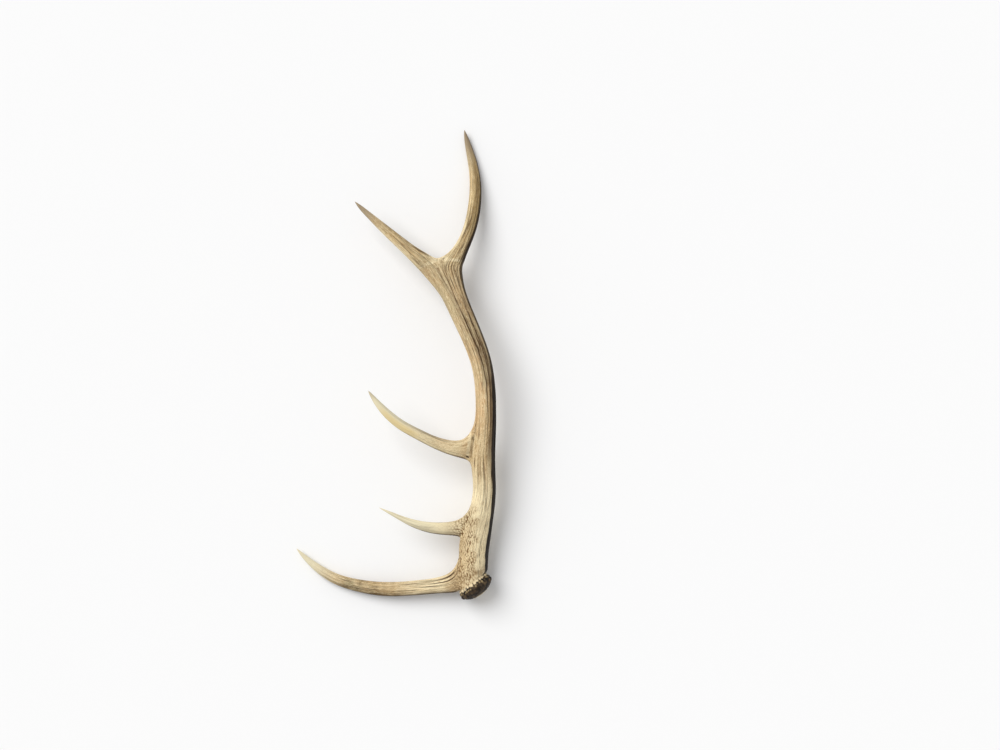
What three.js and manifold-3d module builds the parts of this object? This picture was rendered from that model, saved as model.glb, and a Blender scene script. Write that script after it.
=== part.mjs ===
// A shed red deer antler with five points, lying on its inner side.
//
// It rests on three places: the rim of the burr, the outer part of the brow tine and the bend of the
// rear crown tine. The beam bridges over the surface between them. Millimetres, +Z up, +Y towards
// the crown, and the origin on the surface, under the middle of the whole antler.

import * as THREE from "three";
import { mergeVertices } from "three/addons/utils/BufferGeometryUtils.js";
import Module from "manifold-3d";

const wasm = await Module();
wasm.setup();

// Driving dimensions.
const FORK_GAP = 0.3; // between two pieces that meet at a fork
const RING_STEP = 13; // along a branch, from one ring of vertices to the next
const BEAM_SIDES = 22;
const TINE_SIDES = 14;
const BURR_SIDES = 32;
const FLATNESS = 0.95; // a branch's thickness over its width, because antlers are slightly oval
const BONE_COLOUR = 0xbfa273;

// Each branch is a bent, tapering rod. A station is [x, y, z, radius] on its centre line, from the
// root to the tip. The beam runs on into the rear crown tine, and a tine starts inside the beam.
const STEM = [
  [137, -380, 29, 21],
  [131, -372, 29.5, 24.5],
  [128, -350, 32, 26],
  [130, -312, 36, 25],
  [138, -268, 42, 23.5],
  [147, -220, 50, 20.5],
  [148, -165, 58, 20],
  [151, -111, 65, 18.5],
  [152, -60, 70, 17],
  [144, -3, 73, 17.5],
  [124, 52, 72, 18],
  [101, 106, 68, 19.5],
  [92, 138, 63, 20],
  [96, 169, 56.5, 18],
  [105, 193, 49, 14.5],
  [118, 218, 39.5, 12],
  [129.5, 263, 24, 11],
  [132.5, 303, 13, 10.2],
  [128.5, 341, 8, 8],
  [122, 370, 7, 5.8],
  [114.5, 401, 11, 0.8],
];
const BROW = [
  [124, -362, 32, 25],
  [92, -372, 29, 15],
  [56, -378, 25, 12],
  [-4, -383, 19, 12],
  [-60, -378, 13.5, 10.2],
  [-96, -369, 9.5, 8.8],
  [-125, -355, 7.8, 7.6],
  [-151, -337, 8, 5],
  [-171, -315, 11, 0.8],
];
const BEZ = [
  [135, -276, 40, 20],
  [111, -277, 42, 14],
  [80, -279, 45, 10.5],
  [57, -278, 47, 9],
  [33, -272, 50, 6.8],
  [4, -259, 53, 4],
  [-28, -243, 57, 0.8],
];
const TREZ = [
  [148, -138, 61, 20],
  [121, -141, 63, 16],
  [94, -140, 66, 12],
  [60, -129, 70, 9.5],
  [7, -101, 77, 8.3],
  [-19, -80, 80, 7],
  [-34, -63, 83, 5],
  [-47, -44, 86, 0.8],
];
const CROWN_FRONT = [
  [86, 133, 64, 20],
  [70, 148, 62, 19],
  [57, 164, 60, 17],
  [38, 180, 58.5, 13],
  [19.5, 195, 57, 10],
  [-4, 215, 55, 8.8],
  [-37, 247, 53, 5.6],
  [-70, 275.5, 54, 0.8],
];

// The burr is a ring round the foot of the beam, with the domed cast base under it.
const BURR_CENTRE = new THREE.Vector3(136, -381, 29.5);
const BURR_AXIS = new THREE.Vector3(-0.588, 0.81, 0.02); // from the base towards the beam
const BURR_RADIUS = 29.5;
const BURR_EDGE = 4; // round of the ring's edge
const BURR_NECK = 22; // the ring runs out into the beam at this radius
const BURR_NECK_HEIGHT = 13;
const DOME_HEIGHT = 11; // of the cast base, below the ring
const DOME_RADIUS = 25;

// Where the beam ends and the rear crown tine begins, and the way the cut faces.
const CROWN_CUT = new THREE.Vector3(103, 188, 50);
const CROWN_CUT_FACES = new THREE.Vector3(0.4, 0.86, -0.28);
const CUT_BLOCK = 600; // side of the block that takes away what is past the cut

// Vertices that share a place become one, and faces with no area left are dropped.
function welded(geometry) {
  geometry.deleteAttribute("normal");
  geometry.deleteAttribute("uv");
  const merged = mergeVertices(geometry, 1e-4);
  const corners = merged.getIndex().array;
  const kept = [];
  for (let i = 0; i < corners.length; i += 3) {
    const [a, b, c] = [corners[i], corners[i + 1], corners[i + 2]];
    if (a !== b && b !== c && c !== a) {
      kept.push(a, b, c);
    }
  }
  merged.setIndex(kept);
  return merged;
}

function solidOf(geometry) {
  const shape = welded(geometry);
  const mesh = new wasm.Mesh({
    numProp: 3,
    vertProperties: new Float32Array(shape.getAttribute("position").array),
    triVerts: new Uint32Array(shape.getIndex().array),
  });
  return new wasm.Manifold(mesh);
}

function geometryOf(solid) {
  const mesh = solid.getMesh();
  const geometry = new THREE.BufferGeometry();
  geometry.setAttribute("position", new THREE.BufferAttribute(mesh.vertProperties, 3));
  geometry.setIndex(new THREE.BufferAttribute(mesh.triVerts, 1));
  geometry.computeVertexNormals();
  return geometry;
}

// A lathe whose height runs from 0 to 1 is bent along the stations' centre line, so each of its
// rings stands square to the line with its wider way level.
function branch(stations, sides, grown = 0) {
  const line = new THREE.CatmullRomCurve3(
    stations.map(([x, y, z]) => new THREE.Vector3(x, y, z)),
    false,
    "catmullrom",
  );
  const girth = new THREE.SplineCurve(stations.map((s, i) => new THREE.Vector2(i, s[3])));
  const rings = Math.ceil(line.getLength() / RING_STEP);
  const profile = [new THREE.Vector2(0, 0)];
  for (let i = 0; i <= rings; i += 1) {
    const t = i / rings;
    profile.push(new THREE.Vector2(Math.max(girth.getPoint(t).y, 0.5) + grown, t));
  }
  profile.push(new THREE.Vector2(0, 1));

  const geometry = new THREE.LatheGeometry(profile, sides);
  const position = geometry.getAttribute("position");
  const up = new THREE.Vector3(0, 0, 1);
  for (let i = 0; i < position.count; i += 1) {
    const t = position.getY(i);
    const along = line.getTangent(t);
    const level = new THREE.Vector3().crossVectors(along, up).normalize();
    const top = new THREE.Vector3().crossVectors(level, along);
    const place = line.getPoint(t);
    place.addScaledVector(level, position.getX(i));
    place.addScaledVector(top, position.getZ(i) * FLATNESS);
    position.setXYZ(i, place.x, place.y, place.z);
  }
  return solidOf(geometry);
}

// The burr's outline, from the middle of the domed base, round the ring's edge, up to the neck.
function burr(grown = 0) {
  const outline = new THREE.Path();
  outline.moveTo(0, -DOME_HEIGHT);
  outline.quadraticCurveTo(DOME_RADIUS * 0.7, -DOME_HEIGHT, DOME_RADIUS, -BURR_EDGE * 0.8);
  outline.quadraticCurveTo(BURR_RADIUS, -BURR_EDGE * 0.8, BURR_RADIUS, 0);
  outline.quadraticCurveTo(BURR_RADIUS, BURR_EDGE * 1.5, BURR_RADIUS - BURR_EDGE, BURR_EDGE * 2);
  outline.lineTo(BURR_NECK, BURR_NECK_HEIGHT);
  outline.lineTo(0, BURR_NECK_HEIGHT);
  const profile = outline.getPoints(4).map((p) => new THREE.Vector2(p.x, p.y));
  const geometry = new THREE.LatheGeometry(profile, BURR_SIDES);
  const scale = 1 + grown / BURR_RADIUS;
  geometry.scale(scale, scale, scale);
  const turn = new THREE.Quaternion().setFromUnitVectors(
    new THREE.Vector3(0, 1, 0),
    BURR_AXIS.clone().normalize(),
  );
  geometry.applyQuaternion(turn);
  geometry.translate(BURR_CENTRE.x, BURR_CENTRE.y, BURR_CENTRE.z);
  return solidOf(geometry);
}

// A block that fills everything past the crown cut, starting this far beyond it.
function pastCrownCut(beyond) {
  const block = new THREE.BoxGeometry(CUT_BLOCK, CUT_BLOCK, CUT_BLOCK);
  const faces = CROWN_CUT_FACES.clone().normalize();
  block.applyQuaternion(
    new THREE.Quaternion().setFromUnitVectors(new THREE.Vector3(0, 0, 1), faces),
  );
  const middle = CROWN_CUT.clone().addScaledVector(faces, CUT_BLOCK / 2 + beyond);
  block.translate(middle.x, middle.y, middle.z);
  return solidOf(block);
}

function piece(name, solid) {
  const bone = new THREE.MeshStandardMaterial({ color: BONE_COLOUR, roughness: 0.6, metalness: 0 });
  const mesh = new THREE.Mesh(geometryOf(solid), bone);
  mesh.name = name;
  return mesh;
}

const stem = branch(STEM, BEAM_SIDES);
const foot = burr();
const stemWithGap = branch(STEM, BEAM_SIDES, FORK_GAP).add(burr(FORK_GAP));

const beam = stem.subtract(pastCrownCut(0)).add(foot);
const crownRear = stem.intersect(pastCrownCut(FORK_GAP));
const tineOff = (stations) => branch(stations, TINE_SIDES).subtract(stemWithGap);

const group = new THREE.Group();
group.add(piece("beam", beam));
group.add(piece("brow_tine", tineOff(BROW)));
group.add(piece("bez_tine", tineOff(BEZ)));
group.add(piece("trez_tine", tineOff(TREZ)));
group.add(piece("crown_front_tine", tineOff(CROWN_FRONT)));
group.add(piece("crown_rear_tine", crownRear));

// The origin goes on the surface the antler lies on, under the middle of its box.
group.updateMatrixWorld(true);
const box = new THREE.Box3().setFromObject(group);
group.position.set(-(box.min.x + box.max.x) / 2, -(box.min.y + box.max.y) / 2, -box.min.z);

export default group;
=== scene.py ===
# %% [markdown]
# # A shed deer antler, laid on its inner side
#
# This lesson makes one red deer antler with five points. The real thing is a single piece of bone:
# a beam that grows out of a pearled burr, three tines along its front and a fork at the top. It
# lies on a pale floor, touches it in three places and bridges over it between them.
#
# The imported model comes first. It holds the plain solids at their real size, and everything made
# here goes in the same place, in metres, with +Z up and +Y towards the crown.

# %% Load the frame
from math import atan2, cos, degrees, pi, radians, sin

import bmesh
import bpy
import numpy as np
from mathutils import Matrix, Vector, noise
from mathutils.kdtree import KDTree


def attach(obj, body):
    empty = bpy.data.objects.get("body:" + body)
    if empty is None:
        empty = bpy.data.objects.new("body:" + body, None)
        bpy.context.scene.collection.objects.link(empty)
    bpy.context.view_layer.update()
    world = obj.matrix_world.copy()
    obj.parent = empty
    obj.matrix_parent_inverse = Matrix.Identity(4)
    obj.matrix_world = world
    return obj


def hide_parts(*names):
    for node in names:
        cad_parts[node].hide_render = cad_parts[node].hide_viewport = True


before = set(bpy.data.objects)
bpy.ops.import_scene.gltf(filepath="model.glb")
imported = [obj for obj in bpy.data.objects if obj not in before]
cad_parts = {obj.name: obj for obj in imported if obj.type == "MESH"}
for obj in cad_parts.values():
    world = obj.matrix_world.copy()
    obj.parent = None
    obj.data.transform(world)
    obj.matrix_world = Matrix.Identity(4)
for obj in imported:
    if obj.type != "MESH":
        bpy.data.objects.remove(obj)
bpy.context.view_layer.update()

MM = 0.001

# %% [markdown]
# ## Camera
#
# The antler is seen as in a catalogue of hunting trophies, with the crown at the top. It lies down
# here, so the camera looks straight down on it and the top of the image is +Y. A long lens from far
# away keeps the tines that stand higher from looking larger. The picture covers 1.7 m across at the
# mean height of the beam, so in an image 1000 pixels wide one pixel is 1.7 mm there.

# %% Camera
PICTURE_WIDTH = 1.7  # metres
BEAM_HEIGHT = 40 * MM  # its middle, on the whole
PICTURE_MIDDLE = (175.5 * MM, -17.85 * MM)
CAMERA_DISTANCE = 5.667
SENSOR = 36.0  # millimetres
CLIP_END = 30

camera_data = bpy.data.cameras.new("camera")
camera_data.sensor_width = SENSOR
camera_data.lens = SENSOR * CAMERA_DISTANCE / PICTURE_WIDTH
camera_data.clip_end = CLIP_END
camera = bpy.data.objects.new("camera", camera_data)
camera.location = (*PICTURE_MIDDLE, BEAM_HEIGHT + CAMERA_DISTANCE)
bpy.context.collection.objects.link(camera)
bpy.context.scene.camera = camera
print(f"lens {camera_data.lens:.0f} mm")

# %% [markdown]
# ## The shape, as a few stations
#
# Antlers could be sculpted by hand or grown from metaballs. Here each branch follows a few
# stations, as a smith would note where a rod bends and how thick it is, and a smooth line runs
# through them. All numbers are in millimetres.
#
# The beam is given by its two edges as seen from above, because it widens to one side at each
# fork: left x and y, right x and y, the height of its middle and half its thickness. The last
# number says how many rings of the cage lie between this station and the next. A tine is given by
# its middle line, x, y and height, and half its width.

# %% Stations
BEAM = [
    (108.5, -381.5, 154.5, -350, 30.5, 25.2, 5),  # neck above the burr, where the brow tine starts
    (106.5, -329.5, 156, -319, 34.5, 24.5, 2),
    (107, -299.5, 159.5, -294, 37.5, 24, 4),  # the bez tine
    (124.5, -247, 167, -237, 46, 20.5, 2),
    (130.5, -206, 168.5, -202.5, 53, 19, 2),
    (127, -164.5, 167, -162, 58.5, 18.8, 4),  # the trez tine
    (134, -101, 169, -101, 66.5, 16.8, 2),
    (134, -43, 168, -43, 71.5, 16.3, 2),
    (127, 0, 162, 5, 73, 16.8, 2),
    (111.5, 41.5, 146.5, 50, 72.5, 17.2, 1),
    (92, 82, 128.3, 94, 70, 18, 2),
    (73.5, 120, 114.5, 132, 66, 18.5, 1),
    (50, 147.5, 110.5, 158.5, 61, 18, 1),
    (37.5, 162, 112, 169.5, 58, 16.5, 0),  # the crown fork
]
BROW = [
    (99, -371.5, 29.5, 17.8),
    (73.5, -376, 26.5, 13.4),
    (25.5, -381.5, 21.8, 12.3),
    (-21, -383.5, 17.2, 11.9),
    (-63.8, -378.2, 13, 10.5),
    (-105.5, -366.8, 8.7, 8.8),
    (-139, -346, 7.2, 6.6),
    (-161, -326.5, 8.8, 3.4),
    (-172, -314.5, 11.5, 0.5),
]
BEZ = [
    (109, -278, 42, 13.4),
    (87, -279, 44.5, 10.9),
    (63.5, -278, 46.5, 9.5),
    (40, -273.5, 49.5, 7.5),
    (16, -265, 52, 5.1),
    (-4, -255, 54.5, 3.1),
    (-30, -242.5, 57, 0.5),
]
TREZ = [
    (116.5, -144, 63.5, 15.6),
    (94.5, -142, 66, 12.2),
    (67.5, -133, 69.3, 9.9),
    (37, -118, 73, 8.7),
    (6.5, -101.5, 77, 8.3),
    (-17, -81.5, 80, 7.3),
    (-33.5, -63, 83, 4.9),
    (-47, -44, 86, 0.5),
]
CROWN_FRONT = [
    (47, 173, 59, 15.3),
    (28, 188, 57.8, 11.6),
    (6, 207, 56, 9.5),
    (-18.4, 228, 54.3, 7.9),
    (-40.6, 247.8, 53, 5.8),
    (-59, 264.3, 53, 3.8),
    (-71, 276.5, 54, 0.5),
]
CROWN_REAR = [
    (103.4, 183.5, 52.5, 14.1),
    (112.6, 201.4, 47, 11.2),
    (122.3, 223.5, 38, 11.2),
    (129.6, 253, 28.5, 10.9),
    (133.2, 280.5, 20, 10.5),
    (134, 308.5, 12.5, 9.7),
    (130.5, 337.5, 8, 8.2),
    (123, 368, 6.6, 6),
    (117.3, 388.5, 8.5, 3.6),
    (114.5, 401, 11, 0.5),
]
FLATNESS = 0.95  # a tine's thickness over its width


def through(stations, at):
    """A row on the smooth line through the stations. at counts stations from 0."""
    rows = np.asarray(stations, float)
    rows = np.vstack([2 * rows[0] - rows[1], rows, 2 * rows[-1] - rows[-2]])
    i = min(int(at), len(stations) - 2)
    f = at - i
    a, b, c, d = rows[i : i + 4]
    return b + 0.5 * f * (c - a + f * (2 * a - 5 * b + 4 * c - d + f * (3 * (b - c) + d - a)))


tines = {"brow": BROW, "bez": BEZ, "trez": TREZ, "front": CROWN_FRONT, "rear": CROWN_REAR}
print(len(BEAM), "stations on the beam,", {name: len(rows) for name, rows in tines.items()})

# %% [markdown]
# ## A cage of rings
#
# The antler is one closed mesh, so that its grooves run from the beam into the tines with no seam.
# It starts as a coarse cage: one circle at the burr, extruded ring by ring. A subdivision surface
# then rounds it, and gives every fork a soft fillet without any extra work.
#
# Each ring keeps its vertices in order round the branch, starting at the right and turning over the
# top. Four layers of numbers travel with the cage: how far a vertex is from the tip of its tine,
# which tine it is on, how far it is from the burr, and the way the bone grew there.

# %% Cage helpers
BEAM_SIDES = 22
HALF_STEP = pi / BEAM_SIDES
TOP, BOTTOM = 5, 16  # the ring's vertices straight above and below its middle
FAR = 1000.0  # the distance to a tip, for a vertex that is on no tine

cage = bmesh.new()
to_tip = cage.verts.layers.float.new("to_tip")
tine_kind = cage.verts.layers.float.new("tine_kind")
along_burr = cage.verts.layers.float.new("along_burr")
flow = cage.verts.layers.float_vector.new("flow")


def rounding(sides):
    """How much a subdivided ring shrinks, so that it can be drawn that much larger."""
    return (4 + 2 * cos(2 * pi / sides)) / 6


def place_ring(ring, angles, middle, level, top, direction, tip=FAR, kind=0.0, burr=FAR):
    """Puts a ring's vertices on an ellipse. level and top are its half axes."""
    grow = 1 / rounding(len(ring))
    for vertex, angle in zip(ring, angles):
        vertex.co = (middle + grow * (level * cos(angle) + top * sin(angle))) * MM
        vertex[to_tip] = tip
        vertex[tine_kind] = kind
        vertex[along_burr] = burr
        vertex[flow] = direction


def next_ring(ring, seam=0):
    """Extrudes a closed ring of vertices and returns the new ring in the same order.

    The edge that leaves the vertex numbered seam is a seam when the surface is unwrapped."""
    edges = [cage.edges.get((a, b)) for a, b in zip(ring, ring[1:] + ring[:1])]
    made = bmesh.ops.extrude_edge_only(cage, edges=edges)["geom"]
    fresh = {v for v in made if isinstance(v, bmesh.types.BMVert)}
    for edge in {e for v in fresh for e in v.link_edges}:
        edge.seam = False  # the new edges take over the seams of those they came from
    rungs = [next(e for e in v.link_edges if e.other_vert(v) in fresh) for v in ring]
    if seam is not None:
        rungs[seam].seam = True
    return [e.other_vert(v) for e, v in zip(rungs, ring)]


def cut_round(ring):
    """Makes a ring of edges a seam."""
    for a, b in zip(ring, ring[1:] + ring[:1]):
        cage.edges.get((a, b)).seam = True


def close_tip(ring, place):
    """Draws a tine's last ring together in one point."""
    bmesh.ops.pointmerge(cage, verts=ring, merge_co=place * MM)


print(f"a ring of {BEAM_SIDES} is drawn {100 / rounding(BEAM_SIDES) - 100:.1f}% larger")

# %% [markdown]
# ## Burr and beam
#
# The burr is the knobbly ring round the antler's foot, where it sat on the skull. Its underside is
# the seal, a shallow dome of rough bone. Its rings are packed close, because the pearls that are
# raised on them later need a fine mesh.
#
# The profile gives each ring's height along the burr's axis and its radius, from the middle of the
# seal, round the rim, to the neck.

# %% Burr and beam
BURR_MIDDLE = Vector((136, -381, 30.6))
BURR_AXIS = Vector((-0.588, 0.809, 0)).normalized()  # from the seal towards the beam
BURR_ACROSS = Vector((0.809, 0.588, 0)).normalized()
BURR_PROFILE = [
    (-12.5, 6),
    (-12, 12.5),
    (-10.6, 18.2),
    (-7.8, 23.8),
    (-3.6, 28.6),
    (1.2, 30.6),
    (5.2, 30.4),
    (9, 28.6),
    (12.4, 26.4),
]
SEAL_RISE = 0.3  # from the first ring to the seal's middle
SEAL_RING = 4  # the seal inside this ring is unwrapped as a disc
MIDDLE_CUT = 13  # the beam's sleeve is unwrapped in two parts, cut at this ring
BEAM_RING_STEP = 12  # millimetres along the beam, about, from ring to ring
UP = Vector((0, 0, 1))

beam_angles = [HALF_STEP + i * 2 * HALF_STEP for i in range(BEAM_SIDES)]
disc = bmesh.ops.create_circle(cage, cap_ends=True, cap_tris=True, radius=1, segments=BEAM_SIDES)
seal_middle, *ring = sorted(disc["verts"], key=lambda v: v.co.length)
ring.sort(key=lambda v: atan2(v.co.y, v.co.x) % (2 * pi))

for i, (height, radius) in enumerate(BURR_PROFILE):
    if i:
        ring = next_ring(ring, seam=0 if i > SEAL_RING else None)
    if i == SEAL_RING:
        cut_round(ring)
    place_ring(
        ring,
        beam_angles,
        BURR_MIDDLE + BURR_AXIS * height,
        BURR_ACROSS * radius,
        UP * radius,
        BURR_AXIS,
        burr=height,
    )
seal_middle.co = (BURR_MIDDLE + BURR_AXIS * (BURR_PROFILE[0][0] - SEAL_RISE)) * MM
seal_middle[to_tip] = FAR
seal_middle[along_burr] = BURR_PROFILE[0][0]
seal_middle[flow] = BURR_AXIS

beam_rings = []
for station, row in enumerate(BEAM):
    for i in range(max(row[-1], 1)):
        at = station + i / max(row[-1], 1)
        left_x, left_y, right_x, right_y, height, half_thick = through([r[:-1] for r in BEAM], at)
        left, right = Vector((left_x, left_y, height)), Vector((right_x, right_y, height))
        level = (right - left) / 2
        ring = next_ring(ring)
        place_ring(
            ring,
            beam_angles,
            (left + right) / 2,
            level,
            UP * half_thick,
            UP.cross(level).normalized(),
            burr=BURR_PROFILE[-1][0] + BEAM_RING_STEP * (1 + len(beam_rings)),
        )
        beam_rings.append(ring)
cut_round(beam_rings[MIDDLE_CUT])
print(len(BURR_PROFILE) + len(beam_rings), "rings from the seal to the crown fork")

# %% [markdown]
# ## Tines
#
# A side tine leaves the beam on its left. A patch of the cage, three faces wide and as many long
# as the tine's root needs, is opened, and its rim is extruded along the tine's middle line. The
# rim has two vertices for each row and each column of the patch, so the tine has as many sides.

# %% Tines
PATCH_COLUMNS = (9, 12)  # the ring's vertices on either side of the patch
TINE_RING_STEP = 25.0  # millimetres along a tine, from ring to ring
TIP_REACH = 4.5  # the last ring stands this far ahead, because rounding draws a tip back
TIP_CROWDING = 1.12  # above 1 the rings stand closer towards the tip
TIP_RADIUS = 0.6
LOOK_AHEAD = 0.05  # part of a station over which a tine's direction is measured
SUBSTEPS = 20  # points in each station when a tine's length is measured


def grow_tine(rim, angles, stations, kind):
    """Extrudes a rim of vertices along a tine and closes its tip."""
    spans = len(stations) - 1
    places = [Vector(through(stations, i / SUBSTEPS)[:3]) for i in range(SUBSTEPS * spans + 1)]
    steps = [(b - a).length for a, b in zip(places, places[1:])]
    travelled = np.concatenate([[0], np.cumsum(steps)])
    length = travelled[-1]
    rings = round(length / TINE_RING_STEP)
    lowest = min(range(len(angles)), key=lambda i: sin(angles[i]))
    cut_round(rim)
    for i in range(rings + 2):
        done = length * (1 - (1 - i / (rings + 1)) ** TIP_CROWDING)
        at = float(np.interp(done, travelled, np.arange(len(travelled)) / SUBSTEPS))
        row = through(stations, at)
        ahead = Vector(through(stations, min(at + LOOK_AHEAD, spans))[:3])
        behind = Vector(through(stations, max(at - LOOK_AHEAD, 0))[:3])
        direction = (ahead - behind).normalized()
        level = direction.cross(UP).normalized()
        top = level.cross(direction)
        rim = next_ring(rim, lowest)
        width = max(row[3], TIP_RADIUS)
        reach = direction * TIP_REACH if i == rings + 1 else Vector()
        place_ring(
            rim,
            angles,
            Vector(row[:3]) + reach,
            level * width,
            top * width * FLATNESS,
            direction,
            tip=length - done,
            kind=kind,
        )
    close_tip(rim, Vector(stations[-1][:3]) + direction * (TIP_REACH + 1))
    print(f"tine {kind:.0f}: {length:.0f} mm, {rings + 2} rings of {len(rim)}")


def open_patch(first_ring, rows):
    """Deletes a patch on the left of the beam.

    Returns its rim, in order round the tine, and the rim's angles."""
    low, high = PATCH_COLUMNS
    columns = high - low
    rings_here = beam_rings[first_ring : first_ring + rows + 1]
    faces = [
        f
        for f in cage.faces
        if all(any(v in r[low : high + 1] for r in rings_here) for v in f.verts)
    ]
    bmesh.ops.delete(cage, geom=faces, context="FACES")
    upper_side = [r[low] for r in reversed(rings_here)]
    root_end = rings_here[0][low + 1 : high]
    lower_side = [r[high] for r in rings_here]
    crown_end = list(reversed(rings_here[-1][low + 1 : high]))
    rim = upper_side + root_end + lower_side + crown_end
    step = 2 * pi / (2 * rows + 2 * columns)
    angles = [columns / 2 * step + i * step for i in range(len(rim))]
    return rim, angles


starts = np.cumsum([0] + [row[-1] for row in BEAM])
grow_tine(*open_patch(starts[0], BEAM[0][-1]), BROW, kind=1)
grow_tine(*open_patch(starts[2], BEAM[2][-1]), BEZ, kind=2)
grow_tine(*open_patch(starts[5], BEAM[5][-1]), TREZ, kind=3)

# %% [markdown]
# ## Crown fork
#
# The beam's last ring is wide and flat. A line of edges is strung across its opening from top to
# bottom and bows forward into the saddle of the fork. Each half of the ring, together with that
# line, is then the rim of one crown tine.

# %% Crown fork
SADDLE_CUTS = 2
SADDLE_DEPTH = 15.0
SADDLE_THICK = 11.0

last = beam_rings[-1]
fork_middle = sum((v.co for v in last), Vector()) / len(last) / MM
fork_ahead = Vector((-0.45, 0.9, 0)).normalized()  # between the two crown tines
saddle = []
for i in range(SADDLE_CUTS):
    angle = pi / 2 - pi * (i + 1) / (SADDLE_CUTS + 1)
    place = fork_middle + fork_ahead * SADDLE_DEPTH * cos(angle) + UP * SADDLE_THICK * sin(angle)
    behind = saddle[-1] if saddle else last[TOP]
    vertex = bmesh.ops.extrude_vert_indiv(cage, verts=[behind])["verts"][0]
    vertex.co = place * MM
    vertex[to_tip] = FAR
    vertex[along_burr] = FAR
    vertex[flow] = fork_ahead
    saddle.append(vertex)
bmesh.ops.contextual_create(cage, geom=[saddle[-1], last[BOTTOM]])

crown_sides = BEAM_SIDES // 2 + SADDLE_CUTS + 1
crown_step = 2 * pi / crown_sides
saddle_arc = crown_step * (SADDLE_CUTS + 1) / 2
front_rim = last[TOP : BOTTOM + 1] + list(reversed(saddle))
front_angles = [saddle_arc + i * crown_step for i in range(crown_sides)]
rear_rim = last[BOTTOM:] + last[: TOP + 1] + saddle
rear_angles = [pi + saddle_arc + i * crown_step for i in range(crown_sides)]
grow_tine(front_rim, front_angles, CROWN_FRONT, kind=4)
grow_tine(rear_rim, rear_angles, CROWN_REAR, kind=5)

bmesh.ops.recalc_face_normals(cage, faces=cage.faces)
open_edges = [e for e in cage.edges if len(e.link_faces) != 2]
print(f"cage: {len(cage.faces)} faces, {len(open_edges)} edges that aren't closed")

# %% [markdown]
# ## Unwrapping
#
# When the model is exported, its colours are painted on one flat picture, so the surface gets a
# flat map too. The seams run where a leather worker would cut a sleeve: along the underside of
# each tine, round its root, along the back of the beam and round its middle. The map is made on the
# coarse cage, where it is quick, and the subdivision carries it along.

# %% Unwrap
MAP_EDGE = 0.003  # left free round the map


def numbers(source, name, width=1, kind=np.float64):
    """One of Blender's lists as an array."""
    found = np.empty(len(source) * width, kind)
    source.foreach_get(name, found)
    return found.reshape(-1, width) if width > 1 else found


rough_mesh = bpy.data.meshes.new("antler_cage")
cage.to_mesh(rough_mesh)
cage.free()
antler = bpy.data.objects.new("antler", rough_mesh)
bpy.context.collection.objects.link(antler)
rough_mesh.uv_layers.new(name="OFBake")
bpy.context.view_layer.objects.active = antler
antler.select_set(True)
bpy.ops.object.mode_set(mode="EDIT")
bpy.ops.mesh.select_all(action="SELECT")
bpy.ops.uv.unwrap(method="ANGLE_BASED")
bpy.ops.uv.select_all(action="SELECT")
bpy.ops.uv.average_islands_scale()
bpy.ops.uv.pack_islands(rotate=True, margin_method="FRACTION", margin=0.001)
bpy.ops.object.mode_set(mode="OBJECT")

flat = rough_mesh.uv_layers["OFBake"].data
corners = numbers(flat, "uv", 2)
corners -= corners.min(0)
flat.foreach_set("uv", (MAP_EDGE + corners / corners.max() * (1 - 2 * MAP_EDGE)).ravel())
print(sum(e.use_seam for e in rough_mesh.edges), "edges of the cage are seams")

# %% [markdown]
# ## From cage to bone
#
# The subdivision surface turns the cage into a fine skin, and is applied, because the grooves and
# pearls are moves of its vertices. The layers of the cage come along as attributes.

# %% Subdivide
LEVELS = 3

rounding_off = antler.modifiers.new("rounding", "SUBSURF")
rounding_off.levels = rounding_off.render_levels = LEVELS
seen = antler.evaluated_get(bpy.context.evaluated_depsgraph_get())
skin = bpy.data.meshes.new_from_object(seen)
antler.modifiers.clear()
antler.data = skin
skin.name = "antler"
bpy.data.meshes.remove(rough_mesh)
skin.polygons.foreach_set("use_smooth", np.ones(len(skin.polygons), bool))

corners = numbers(skin.uv_layers["OFBake"].data, "uv", 2)
sizes = numbers(skin.polygons, "loop_total", kind=np.int32)
after = np.arange(len(corners)) + 1
after[np.cumsum(sizes) - 1] -= sizes
covered = abs((corners[:, 0] * corners[after, 1] - corners[:, 1] * corners[after, 0]).sum()) / 2
print(f"the map covers {100 * covered:.0f}% of its square")
print(f"skin: {len(skin.vertices)} vertices, {sizes.sum() - 2 * len(sizes)} triangles")

# %% [markdown]
# ## Reading the skin
#
# The furrows and pearls are worked out with numpy, which handles all vertices at once. So the
# places, the normals, the edges and the layers are first copied into arrays, in millimetres. The
# growing direction is laid flat on the skin and called the grain.

# %% Read the skin
spots = numbers(skin.vertices, "co", 3) / MM
normals = numbers(skin.vertex_normals, "vector", 3)
pairs = numbers(skin.edges, "vertices", 2, np.int32)
tip = numbers(skin.attributes["to_tip"].data, "value")
kind = numbers(skin.attributes["tine_kind"].data, "value")
burr_height = numbers(skin.attributes["along_burr"].data, "value")
grain = numbers(skin.attributes["flow"].data, "vector", 3)
grain -= normals * (grain * normals).sum(1)[:, None]
grain /= np.maximum(np.linalg.norm(grain, axis=1), 1e-6)[:, None]
count = len(spots)
print(f"{len(pairs)} edges join {count} vertices")


def lumps(size, seed):
    """Smooth noise with lumps of about this many millimetres."""
    shift = Vector((seed * 17.3, seed * 7.1, seed * 3.7))
    return np.array([noise.noise(Vector(p) / size + shift) for p in spots])


def fade(value, start, end):
    """0 at start, 1 at end, smooth between. start may be the larger one."""
    t = np.clip((value - start) / (end - start), 0, 1)
    return t * t * (3 - 2 * t)


# %% [markdown]
# ## Grain
#
# Blood vessels in the velvet leave furrows in the growing bone, and they all run towards the tips.
# To get such a grain, smooth noise is combed: each vertex takes on the mean of its neighbours
# again and again, but only of those that lie ahead of it or behind it. What is left changes slowly
# along the bone and quickly across it, and it runs through every fork without a seam.

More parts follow.
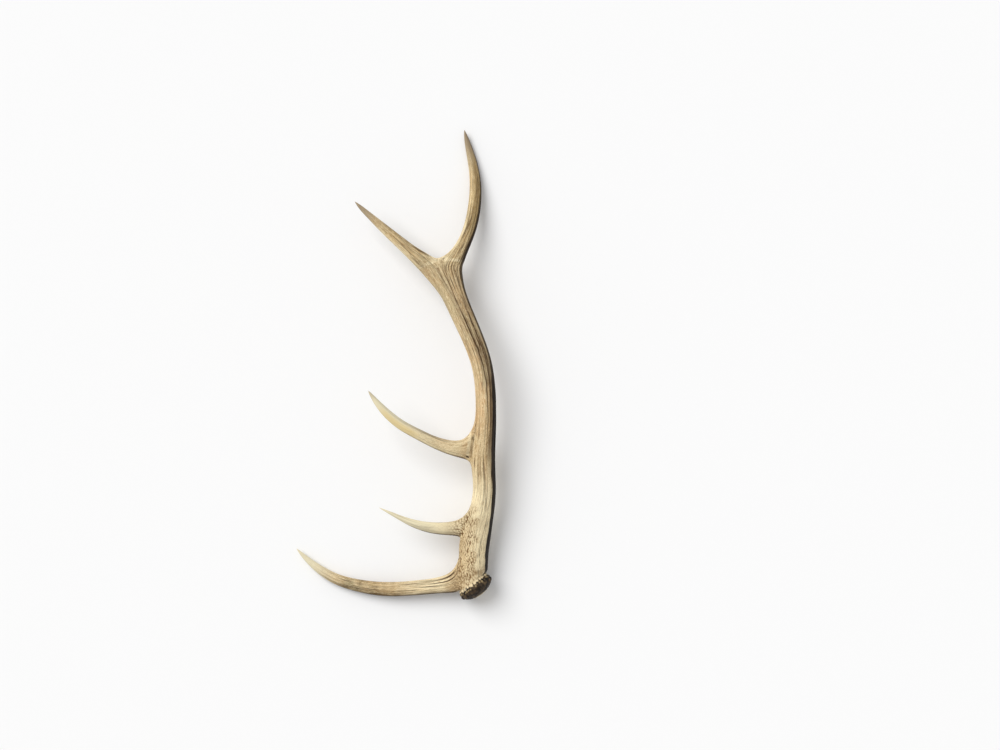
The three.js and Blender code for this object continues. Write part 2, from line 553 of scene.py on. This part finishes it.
# %% Grain
STREAK_STEPS = 360  # how often the noise is combed; more gives longer furrows
COMB = 8  # how strictly neighbours must lie along the grain
LEAST_PULL = 1e-4
LINE_WIDTH = 0.21

ends = pairs.T
apart = spots[ends[1]] - spots[ends[0]]
apart /= np.maximum(np.linalg.norm(apart, axis=1), 1e-6)[:, None]
alike = np.abs((apart * grain[ends[0]]).sum(1) * (apart * grain[ends[1]]).sum(1))
weight = alike ** (COMB / 2) + LEAST_PULL
both = np.concatenate([ends[0], ends[1]])
other = np.concatenate([ends[1], ends[0]])
pull = np.concatenate([weight, weight])
total = np.bincount(both, pull, count)


def combed(size, seed, steps=STREAK_STEPS):
    """Noise drawn out along the grain, about -2 to 2."""
    field = lumps(size, seed)
    for _ in range(steps):
        field = 0.5 * field + 0.5 * np.bincount(both, pull * field[other], count) / total
    return (field - field.mean()) / field.std()


def lines(field):
    """1 where combed noise changes its sign, so a line along the grain, 0 elsewhere."""
    return np.exp(-((field / LINE_WIDTH) ** 2))


wide = combed(5.2, 1)  # furrows of the beam
fine = combed(3, 2)  # furrows of the crown, scratches of the beam
finer = combed(4, 3, 80)  # short streaks
hair = combed(2.3, 7, 240)  # scratches of the crown
strength = combed(16, 4)  # makes some furrows deeper than others
print(f"combed {len(pairs)} edges {STREAK_STEPS} times")

# %% [markdown]
# ## Where the bone differs
#
# An antler isn't the same all over. The lower part of the beam is covered with small pearls, and so
# is the root of the bez tine. The middle is smooth and warm in tone, and the crown is olive. Each
# zone is a soft mask between 0 and 1, made from a vertex's place in millimetres: y says how far up
# the antler it is, and side is 1 where the skin faces right and -1 where it faces left. A little
# slow noise, wander and drift, keeps the edges of the zones from looking ruled.

# %% Zones
# The seal's pale part is set low, so its upper part, turned to the camera, keeps the dark crust as
# painted shade.
SEAL_DROP = 8.0  # the pale part of the seal lies this far below the burr's middle
HONEY_FACES = (-0.45, -0.85, 0)  # down and to the left, as seen from above
SADDLE = (68, 183, 58)
BELOW_SADDLE = (62, 167, 74)
TREZ_ROOT = (132, -140, 64)

x, y = spots[:, 0], spots[:, 1]
side = normals[:, 0]
wander = lumps(35, 5)
drift = lumps(14, 8)


def near(place, outside, inside):
    """1 within a distance of a place, 0 beyond another."""
    return fade(np.linalg.norm(spots - place, axis=1), outside, inside)


in_burr = fade(burr_height, 16, 13)
pale_seal = np.array(BURR_MIDDLE) - (0, 0, SEAL_DROP)
from_axis = np.linalg.norm(np.cross(spots - pale_seal, np.array(BURR_AXIS)), axis=1)
in_seal = fade(burr_height, 0, -3) * fade(from_axis, 16.5 + 3 * drift, 13 + 3 * drift)
neck = fade(burr_height, 75, 20) * (1 - in_burr)  # the foot of the beam

# The pearls stand on the lower beam, left of its middle line, and on the root of the bez tine.
warty = fade(burr_height, 14, 19) * fade(y + 30 * wander, -225, -265)
warty *= fade(x + 10 * drift, 141, 132) * fade(x, 78, 112) * (1 - in_burr)

# The beam's inner curve, the crown, the rear crown tine's right side and the beam below the crown.
orange = fade(y, -150, -70) * fade(y, 60, -20) * fade(side + 0.25 * drift, 0.05, -0.2)
olive = fade(y, 110, 190)
rear = np.where(kind > 4.5, fade(side, -0.8, 0.2), 0) * fade(y, 190, 240)
brown = fade(y, -60, 30) * fade(y, 190, 110) * fade(side + 0.3 * drift, -0.9, 0.3)
below_saddle = near(BELOW_SADDLE, 26, 12)
brown = np.maximum(brown, 0.9 * below_saddle)

# Pale are the foot of the beam, the root of the brow tine, the middle of the trez tine and the bez
# tine. The saddle's rim and the left edges of the crown tines, which face the lamp, get painted
# highlights in the same mask.
saddle = near(SADDLE, 24, 8)
trez_root = near(TREZ_ROOT, 30, 14)
bez = np.where((kind > 1.4) & (kind < 2.6), fade(tip, 10, 40), 0)
trez = np.where((kind > 2.4) & (kind < 3.6), fade(tip, 210, 165), 0)
crown_left_highlight = np.where(kind > 3.5, fade(side, -0.3, -0.75), 0)
pale_and_highlight = fade(y, -165, -235) * fade(x, 90, 130) * (1 - 0.5 * warty)
pale_and_highlight += 0.8 * fade(x, -10, 40) * fade(x, 98, 70) * fade(y, -330, -350)
pale_and_highlight += 0.7 * saddle * fade(normals[:, 1], 0.3, 0.9)
pale_and_highlight += crown_left_highlight * fade(y, 150, 190) * (0.2 + 0.6 * fade(y, 255, 220))
pale_and_highlight += 0.4 * trez * fade(tip, 60, 100) + 0.55 * bez

# A yellow stain along the trez tine's lower edge, and a smoky one on the brow tine.
honey = trez * fade(tip, 25, 55) * fade(tip, 130, 95) * fade(normals @ HONEY_FACES, -0.5, 0.1)
smoky = np.where(kind < 1.5, fade(x, -110, -80) * fade(x + 20 * wander, 0, -30), 0)
print(f"pearls on {100 * (warty > 0.5).mean():.0f}% of the skin")
print(f"pale on {100 * (pale_and_highlight > 0.5).mean():.0f}%")

# %% [markdown]
# ## The dark back, partly painted shade
#
# The right side of the beam is painted nearly black from the middle down, with a brown shoulder
# beside it. Both are partly an old stain and partly painted shade on the side turned from the lamp.
# The edge follows the grain, so the combed noise is added before the cut. The dark is widest in the
# middle of the beam. Further up, it thins to painted shade on the slopes that face down the antler,
# away from the lamp, and the undersides of the side tines get painted shade too, partly over a
# stain.

# %% Dark back and painted shade
BACK_AWAY = (0.85, -0.45, 0.05)  # the way the shaded slopes of the crown face
TINE_AWAY = (0.3, -0.93, -0.2)  # the way the shaded undersides of the side tines face

shoulder_stain_and_shade = fade(side + 0.1 * drift + 0.06 * wide, 0.16, 0.46)
shoulder_stain_and_shade *= fade(y, -200, -120) * fade(y, 50, -40) * (1 - trez_root)
back_edge = 0.54 + 0.0009 * np.clip(-86 - y, 0, 240) + 0.2 * fade(y, -70, 40)
back_stain_and_shade = fade(side + 0.06 * drift + 0.035 * wide - back_edge, 0, 0.1)
back_stain_and_shade *= np.where(kind > 3.5, fade(tip, 20, 110), fade(tip, 100, 500))
back_stain_and_shade *= 1 - 0.35 * fade(y, -50, 20)
# painted shade on the slopes that face away from the lamp, strongest at the crown
painted_slope_shade = fade(normals @ BACK_AWAY + 0.06 * drift + 0.03 * wide, 0.42, 0.74)
painted_slope_shade *= fade(y, -120, 60) * (0.7 + 0.3 * olive)
# painted shade on the undersides of the side tines, partly over a stain
underside_stain_and_shade = fade(normals @ TINE_AWAY + 0.1 * drift, 0.42, 0.82) * fade(tip, 700, 300) * fade(tip, 8, 60)
print(f"the back is dark on {100 * (back_stain_and_shade > 0.5).mean():.0f}% of the skin")

# %% [markdown]
# ## How deep the furrows are
#
# The furrows are deep on the beam, the crown and the root of the brow tine, and fade on the trez
# tine and on all points, which wear smooth on trees. Two long veins run up the top of the beam's
# middle. Masks are multiplied where one thing weakens another, and added where one adds to another.

# %% Furrows
VEIN_WIDTH = 0.07

right = fade(side, -0.2, 0.8)
slim = np.where((kind > 1.4) & (kind < 3.6), fade(tip, 500, 200), 0)  # bez and trez
worn = fade(tip, 150, 35)
brow = np.where(kind < 1.2, fade(tip, 500, 290), 0)  # the brow tine keeps its furrows
deep = (0.55 + 0.45 * right + 0.3 * olive) * (1 - 0.4 * orange) * (1 - 0.9 * worn)
deep *= 1 - 0.75 * warty
deep += 0.9 * brow * (1 - worn) + 0.3 * brown + bez
deep *= (1 - 0.5 * slim) * (1 - 0.3 * pale_and_highlight) * (1 - in_burr)
deep *= np.clip(1.05 + 0.4 * strength, 0.2, 1.5)
deep *= 1 - np.maximum(0.9 * np.maximum(saddle, trez_root), 0.6 * below_saddle)

# 1 where the furrows stand close: at the crown, on the brow and bez tines and low on the beam's
# right side.
close = np.maximum(fade(y, 0, 110), 0.85 * fade(y, -320, -345) * fade(x, 95, 45))
close = np.maximum(close, 0.8 * fade(y, -225, -265) * fade(x, 122, 138))
close = np.maximum(close, bez)
furrow = (1 - close) * lines(wide) + close * lines(fine)
furrow *= np.clip(deep, 0, 1) * (1 - 0.25 * olive)
scratch = (1 - close) * lines(fine) + close * lines(hair)
scratch *= np.clip(deep * (0.7 + 0.5 * olive), 0, 1)
along_top = fade(normals[:, 2], 0, 0.25) * fade(y, -200, -110) * fade(y, 135, 70)
along_top *= fade(tip, 600, 950) * (0.85 + 0.3 * strength)
for vein_side in (0.1 - 0.0012 * y, 0.48):
    vein = np.exp(-(((side - vein_side - 0.05 * drift) / VEIN_WIDTH) ** 2)) * along_top
    furrow = np.maximum(furrow, np.clip(vein, 0, 1))
print(f"furrows cover {100 * (furrow > 0.4).mean():.0f}% of the skin")

# %% [markdown]
# ## Pearls on the beam
#
# The small knobs on an antler are called pearls. Each is a round swelling, a little longer along
# the grain. They could be a bump map, but real moves of the vertices also show in the outline and
# cast shadows. They are scattered with a least distance between them: the vertices are tried in a
# random order, and one that stands too near to an earlier pearl gets none.
#
# The chance comes from very fine noise at each vertex's place, not from its number, because the
# numbering of a mesh can differ from run to run and the pearls would then move.

# %% Pearls on the beam
WART_SPACING = 3.2  # the least distance between two pearls
CHANCE_SIZE = 0.31  # noise this fine differs at every vertex
WART_RADIUS = 1.8
WART_HEIGHT = 0.62
WART_STRETCH = 1.4  # its length along the grain over its width

tree = KDTree(count)
for i, spot in enumerate(spots):
    tree.insert(spot, i)
tree.balance()

swell = np.zeros(count)


def raise_pearl(middle, radius, height, stretch=1.0):
    """Raises the vertices within radius of a place into a rounded bump."""
    for _, i, _ in tree.find_range(middle, radius * stretch):
        offset = spots[i] - np.array(middle)
        ahead = offset @ grain[i]
        far = np.sqrt(max(offset @ offset - ahead**2, 0) + (ahead / stretch) ** 2) / radius
        if far < 1:
            swell[i] = max(swell[i], height * (1 - far**2) ** 0.8)


chance = lumps(CHANCE_SIZE, 21)
wart_radius = WART_RADIUS + 0.6 * lumps(CHANCE_SIZE, 22)
wart_height = WART_HEIGHT + 0.3 * lumps(CHANCE_SIZE, 23)
seeds = []
for i in np.argsort(chance):
    if warty[i] < 0.25:
        continue
    if all((spots[i] - spots[j]) @ (spots[i] - spots[j]) > WART_SPACING**2 for j in seeds):
        seeds.append(i)
for i in seeds:
    raise_pearl(spots[i], wart_radius[i], wart_height[i] * warty[i] ** 0.5, WART_STRETCH)
beam_swell = swell.copy()
print(f"{len(seeds)} pearls on the beam")

# %% [markdown]
# ## Pearls in the burr
#
# The burr's pearls stand in three rows round its rim. Those of the upper row, next to the beam, are
# rubbed to cream, the middle ones are tan and the large lumps next to the seal stay brown. The
# darkening towards the seal, which faces away from the lamp, is partly painted shade, and the
# lighter tops of the knobs and lumps are partly painted highlight. So each row's swelling is kept
# as a mask for its own colour.

# %% Pearls in the burr
BURR_SEED = 4
BURR_ROWS = [
    (11.6, 27, 38, 2.5, 1.8),  # height along the burr, radius, pearls, their radius, their height
    (6.2, 29.8, 38, 2.2, 1.6),
    (0.2, 30, 24, 4, 1.8),
]
rng = np.random.default_rng(BURR_SEED)
swell[:] = 0
for row, (height, radius, pearls, size, rise) in enumerate(BURR_ROWS):
    for i in range(pearls):
        angle = 2 * pi * (i + rng.uniform(-0.4, 0.4)) / pearls
        place = BURR_MIDDLE + BURR_AXIS * (height + rng.uniform(-0.9, 0.9))
        place += (BURR_ACROSS * cos(angle) + UP * sin(angle)) * radius
        this_size = size * rng.uniform(0.7, 1.2)
        this_rise = rise * rng.uniform(0.6, 1.2)
        raise_pearl(place, this_size, this_rise, rng.uniform(1, 1.6))
    if row == 0:
        cream = fade(swell, 0.25, 0.95)
    if row == 1:
        knob = fade(swell, 0.5, 1.4) * (1 - cream)
        upper_rows = swell.copy()
lump = fade(swell, 0.9, 1.9) * (swell > upper_rows)
burr_swell = swell * in_burr
print(f"{sum(row[2] for row in BURR_ROWS)} pearls in the burr")

# %% [markdown]
# ## Moving the skin
#
# Every vertex is then moved along its normal, once, by the sum of all it takes part in. The furrows
# go in, the ridges between them stay slightly raised, the burr gets a rough crust and the seal
# faint rings. No vertex may sink below the floor, which the antler only touches.

# %% Relief
FURROW_DEPTH = 1.0
SCRATCH_DEPTH = 0.3
CRUST_HEIGHT = 0.7
SEAL_RING_HEIGHT = 0.25
RIDGE_HEIGHT = 0.22  # how far the skin between the furrows is raised
WART_BED = 0.5  # the bone between the pearls lies this much lower
BURR_BED = 0.9
POINT = (2, 20)  # nothing moves within 2 mm of a tip, and everything from 20 mm on

crust = lumps(2.6, 6)
seal_rings = np.sin(from_axis * 1.5 + 4 * drift)

rise = RIDGE_HEIGHT - FURROW_DEPTH * furrow - SCRATCH_DEPTH * scratch
rise += beam_swell - WART_BED * warty + 0.25 * wander
rise *= 1 - in_burr
rise += burr_swell + in_burr * crust * CRUST_HEIGHT - BURR_BED * in_burr * (1 - in_seal)
rise += in_seal * seal_rings * SEAL_RING_HEIGHT
rise *= fade(tip, *POINT)
moved = spots + normals * rise[:, None]
moved[:, 2] = np.maximum(moved[:, 2], 0)
skin.vertices.foreach_set("co", (moved * MM).ravel())
skin.update()
print(f"the skin moves {rise.min():.1f} to {rise.max():.1f} mm")

# %% [markdown]
# ## Masks for the material
#
# The zones are stored on the vertices as attributes, one number for each, so that the material can
# read them by name. The colours then follow the shape exactly: a furrow is dark where it is deep,
# and a pearl is pale where it stands up. A painted image could do the same, but it would have to be
# painted again whenever the shape changes.

# %% Masks for the material
HOLLOW_BELOW = 0.39  # millimetres; skin raised less than this counts as hollow between pearls

ivory = np.where(kind > 3.5, 0, np.where(kind < 1.5, fade(tip, 110, 25), fade(tip, 170, 50)))
greying = np.where(kind > 3.5, fade(tip, 75, 15), np.where(kind > 2.5, 0.6 * fade(tip, 22, 6), 0))
crowding = (1 - close) * wide + close * fine
masks = {
    "furrow": np.clip(furrow + 0.7 * scratch, 0, 1),
    "ridge": np.clip(0.5 + 0.3 * crowding + 0.25 * finer, 0, 1) * (1 - furrow),
    "wart_hollow": warty * fade(beam_swell, HOLLOW_BELOW, 0),
    "orange": orange,
    "olive": olive,
    "rear": rear,
    "pale_and_highlight": pale_and_highlight,
    "brown": brown,
    "shoulder_stain_and_shade": shoulder_stain_and_shade,
    "smoky": smoky,
    "back_stain_and_shade": back_stain_and_shade,
    "underside_stain_and_shade": np.maximum(underside_stain_and_shade, painted_slope_shade),
    "neck": neck,
    "ivory": ivory,
    "honey": honey,
    "greying": greying,
    "in_burr": in_burr * (1 - in_seal),
    "cream_pearl": cream * in_burr,
    "knob": knob * in_burr,
    "lump": lump * in_burr,
    "in_seal": in_seal,
    "seal_ring": fade(seal_rings, -0.2, 0.9),
    "worn": worn,
}
for name, values in masks.items():
    kept = skin.attributes.new(name, "FLOAT", "POINT")
    kept.data.foreach_set("value", values.astype(np.float32))
skin.attributes.new("grain", "FLOAT_VECTOR", "POINT").data.foreach_set(
    "vector", np.stack([wide, fine, finer], 1).astype(np.float32).ravel()
)
print(len(skin.attributes), "attributes on the skin")

# %% [markdown]
# ## Node helpers
#
# A material is a graph of nodes, and wiring one by hand takes three lines for each node. So a few
# helpers with plain names come first. Each gives back a socket that the next one can read, and a
# line then reads from the inside out, like a formula.

# %% Node helpers
NOISE_DETAIL = 4.0
NOISE_ROUGHNESS = 0.6

material = bpy.data.materials.new("bone")
material.use_nodes = True
nodes, links = material.node_tree.nodes, material.node_tree.links
shader = nodes["Principled BSDF"]


def feed(socket, value):
    """Links a socket to another, or sets it."""
    if isinstance(value, bpy.types.NodeSocket):
        links.new(value, socket)
    else:
        socket.default_value = value


def mask(name):
    """Reads one of the masks on the skin."""
    node = nodes.new("ShaderNodeAttribute")
    node.attribute_name = name
    return node.outputs["Fac"]


def paint(red, green, blue):
    """A screen colour, 0 to 255, as the linear colour that nodes want."""
    scaled = [v / 255 for v in (red, green, blue)]
    return [v / 12.92 if v <= 0.04045 else ((v + 0.055) / 1.055) ** 2.4 for v in scaled] + [1]


def mix(below, above, amount):
    """Lays one colour over another."""
    node = nodes.new("ShaderNodeMix")
    node.data_type = "RGBA"
    feed(node.inputs[0], amount)
    feed(node.inputs[6], below)
    feed(node.inputs[7], above)
    return node.outputs[2]


def math(operation, first, second=0.0):
    node = nodes.new("ShaderNodeMath")
    node.operation = operation
    node.use_clamp = operation in ("MULTIPLY", "ADD", "SUBTRACT")
    feed(node.inputs[0], first)
    feed(node.inputs[1], second)
    return node.outputs[0]


def times(first, second):
    return math("MULTIPLY", first, second)


def between(value, low, high):
    """0 at low, 1 at high, smooth between."""
    node = nodes.new("ShaderNodeMapRange")
    node.interpolation_type = "SMOOTHSTEP"
    feed(node.inputs["Value"], value)
    node.inputs["From Min"].default_value = low
    node.inputs["From Max"].default_value = high
    return node.outputs["Result"]


def cloud(vector, scale):
    """Noise about 0.5. A larger scale gives smaller clouds."""
    node = nodes.new("ShaderNodeTexNoise")
    feed(node.inputs["Vector"], vector)
    node.inputs["Scale"].default_value = scale
    node.inputs["Detail"].default_value = NOISE_DETAIL
    node.inputs["Roughness"].default_value = NOISE_ROUGHNESS
    return node.outputs["Fac"]


print("everything ends in", shader.name)

# %% [markdown]
# ## Bone
#
# Bone is pale. Blood that dried in the velvet and the juice of bark that the stag rubbed against
# stain it brown, and it wears pale again where it rubs most, on ridges and points.
#
# One material covers the antler. Its ground is tan, paler on the ridges. The masks then lay down
# the other tones one after the other, as a painter glazes a model: orange along the inner curve,
# olive at the crown, dark brown in the furrows, dark brown on the back of the beam as part stain
# and part painted shade, painted shade on undersides and painted highlights on edges that face the
# lamp, ivory on the points of the lower tines, cream on the pearls.
#
# Fine streaks come from a noise texture that reads the combed values instead of a place, so they
# run along the bone too.

# %% Bone colours
place = nodes.new("ShaderNodeTexCoord").outputs["Object"]
combed_place = nodes.new("ShaderNodeAttribute")
combed_place.attribute_name = "grain"
streaks = cloud(combed_place.outputs["Vector"], 2.2)
fine_streaks = cloud(combed_place.outputs["Vector"], 6.0)
blotches = cloud(place, 28)
tints = cloud(place, 17)
smudges = cloud(place, 60)
specks = cloud(place, 420)
patches = cloud(place, 90)

# The ground and the tones of the zones.
colour = paint(190, 158, 112)
colour = mix(colour, paint(234, 214, 170), times(mask("ridge"), between(streaks, 0.3, 0.6)))
colour = mix(colour, paint(218, 174, 122), times(mask("orange"), between(streaks, 0.75, 0.35)))
colour = mix(colour, paint(166, 142, 96), times(mask("olive"), 0.5))
colour = mix(colour, paint(150, 117, 80), times(mask("brown"), 0.45))
colour = mix(colour, paint(134, 114, 76), times(mask("smoky"), between(smudges, 0.3, 0.68)))
# pale bone, with painted highlights on the saddle's rim and the crown tines' left edges
colour = mix(colour, paint(252, 238, 198), times(mask("pale_and_highlight"), between(streaks, 0.02, 0.44)))

# Faint clouds and fine lines over the whole, weaker where the bone is pale.
not_pale = math("SUBTRACT", 1.0, times(mask("pale_and_highlight"), 0.6))
colour = mix(colour, paint(228, 192, 130), times(between(tints, 0.5, 0.66), 0.3))
colour = mix(colour, paint(196, 196, 158), times(between(tints, 0.5, 0.36), times(not_pale, 0.25)))
brown_clouds = times(between(blotches, 0.5, 0.75), times(not_pale, 0.45))
colour = mix(colour, paint(150, 120, 78), brown_clouds)
dark_lines = times(between(fine_streaks, 0.49, 0.36), times(not_pale, 0.95))
colour = mix(colour, paint(120, 88, 50), dark_lines)
colour = mix(colour, paint(246, 229, 188), times(between(fine_streaks, 0.51, 0.6), 0.75))

# Stains and wear of single places, painted shade on undersides and slopes turned from the lamp,
# then the furrows and the dark back, partly stain and partly painted shade, over all.
tan_lines = times(mask("pale_and_highlight"), between(fine_streaks, 0.52, 0.4))
colour = mix(colour, paint(186, 146, 94), times(tan_lines, 0.6))
colour = mix(colour, paint(126, 100, 48), times(mask("rear"), 0.55))
# a brown shoulder beside the dark back: partly stain, partly painted shade
colour = mix(colour, paint(92, 68, 44), times(mask("shoulder_stain_and_shade"), 0.72))
colour = mix(colour, paint(230, 222, 190), times(mask("ivory"), 0.8))
colour = mix(colour, paint(218, 190, 116), times(mask("honey"), 0.5))
colour = mix(colour, paint(150, 134, 112), times(mask("greying"), 0.75))
colour = mix(colour, paint(116, 86, 50), times(mask("wart_hollow"), between(patches, 0.2, 0.55)))
colour = mix(colour, paint(134, 104, 64), times(mask("neck"), between(patches, 0.35, 0.75)))
# painted shade on undersides and on slopes turned from the lamp, partly over a stain
colour = mix(colour, paint(60, 44, 26), times(mask("underside_stain_and_shade"), 0.92))
colour = mix(colour, paint(62, 40, 19), times(mask("furrow"), between(patches, 0.1, 0.45)))
# the dark back: partly stain, partly painted shade on the side turned from the lamp
back_stain_and_shade_colour = mix(paint(24, 16, 10), paint(58, 42, 26), times(mask("ridge"), streaks))
colour = mix(colour, back_stain_and_shade_colour, mask("back_stain_and_shade"))
print(len(nodes), "nodes so far")

# %% [markdown]
# ## Burr and seal
#
# Earth and dried blood stay in the burr's hollows, and the crust is also darkened as painted shade,
# so it is nearly black and only the pearls are lighter, row by row. The seal broke off the skull
# and shows clean bone, cream with faint rings and brown specks, inside a dark rim; its upper part,
# turned to the camera, keeps the dark crust as painted shade.

# %% Burr and seal
# the crust is nearly black: partly dirt in the hollows, partly painted shade
crust = mix(paint(24, 16, 9), paint(84, 66, 44), between(patches, 0.4, 0.75))
colour = mix(colour, crust, mask("in_burr"))
# lighter tops on the lumps and knobs: partly wear, partly painted highlight
colour = mix(colour, paint(118, 98, 70), times(mask("lump"), between(patches, 0.3, 0.7)))
colour = mix(colour, paint(168, 146, 106), times(mask("knob"), between(patches, 0.25, 0.65)))
colour = mix(colour, paint(226, 206, 166), times(mask("cream_pearl"), between(patches, 0.2, 0.45)))
broken_rings = times(mask("seal_ring"), between(patches, 0.45, 0.7))
seal = mix(paint(206, 190, 152), paint(158, 140, 102), broken_rings)
seal = mix(seal, paint(150, 112, 84), times(between(blotches, 0.5, 0.7), 0.6))
colour = mix(colour, seal, times(mask("in_seal"), between(specks, 0.2, 0.5)))
feed(shader.inputs["Base Color"], colour)
print(len(nodes), "nodes so far")

# %% [markdown]
# ## Shine and fine relief
#
# Dry bone is dull: it has a low specular level and a high roughness, highest in the furrows. The
# points are polished by wear. The fine streaks and specks also feed a bump, because they are too
# small to be worth moving vertices for.

# %% Shine and fine relief
DULL = 0.62
SPECULAR = 0.22
BUMP_HEIGHT = 0.5 * MM
BUMP_STRENGTH = 0.6

rough = math("ADD", DULL, times(mask("furrow"), 0.2))
rough = math("SUBTRACT", rough, times(mask("worn"), 0.25))
feed(shader.inputs["Roughness"], rough)
shader.inputs["Specular IOR Level"].default_value = SPECULAR

bump = nodes.new("ShaderNodeBump")
bump.inputs["Strength"].default_value = BUMP_STRENGTH
bump.inputs["Distance"].default_value = BUMP_HEIGHT
feed(bump.inputs["Height"], math("ADD", times(fine_streaks, 0.7), times(specks, 0.3)))
feed(shader.inputs["Normal"], bump.outputs["Normal"])
skin.materials.append(material)
print(len(nodes), "nodes in the bone material")

# %% [markdown]
# ## Light and floor
#
# Antlers are shown on white. One large soft lamp stands above the crown on the left, so the burr
# and the beam's right side fall into shade and the furrows read. A pale world fills the shadows.
# The lamp is a sun, because its light falls alike on a piece this long, and its wide angle makes
# the shadows soft.

# %% Light and floor
FLOOR_SIZE = 6.0
FLOOR_GREY = (0.9, 0.9, 0.9, 1)
WHITE = (1, 1, 1, 1)
LAMP_STRENGTH = 2.2
LAMP_ANGLE = 40  # degrees across; more is softer
LAMP_PLACE = (-1.4, 1.2, 2.1)
WORLD_STRENGTH = 0.55

floor_mesh = bpy.data.meshes.new("floor")
plane = bmesh.new()
bmesh.ops.create_grid(plane, x_segments=1, y_segments=1, size=FLOOR_SIZE)
plane.to_mesh(floor_mesh)
plane.free()
floor = bpy.data.objects.new("floor", floor_mesh)
bpy.context.collection.objects.link(floor)
paper = bpy.data.materials.new("floor")
paper.use_nodes = True
paper.node_tree.nodes["Principled BSDF"].inputs["Base Color"].default_value = FLOOR_GREY
paper.node_tree.nodes["Principled BSDF"].inputs["Roughness"].default_value = 0.9
floor_mesh.materials.append(paper)

lamp_data = bpy.data.lights.new("softbox", "SUN")
lamp_data.energy = LAMP_STRENGTH
lamp_data.angle = radians(LAMP_ANGLE)
lamp = bpy.data.objects.new("softbox", lamp_data)
lamp.location = LAMP_PLACE
lamp.rotation_euler = (-lamp.location).to_track_quat("-Z", "Y").to_euler()
bpy.context.collection.objects.link(lamp)

world = bpy.data.worlds.new("studio")
world.use_nodes = True
world.node_tree.nodes["Background"].inputs["Color"].default_value = WHITE
world.node_tree.nodes["Background"].inputs["Strength"].default_value = WORLD_STRENGTH
bpy.context.scene.world = world
bpy.context.scene.view_settings.view_transform = "Standard"
lamp_rise = atan2(lamp.location.z, lamp.location.xy.length)
print(f"lamp {degrees(lamp_rise):.0f} degrees above the floor")

# %% [markdown]
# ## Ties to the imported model
#
# The antler replaces all six solids and rides on the one body they make.

# %% Ties
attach(antler, "root")
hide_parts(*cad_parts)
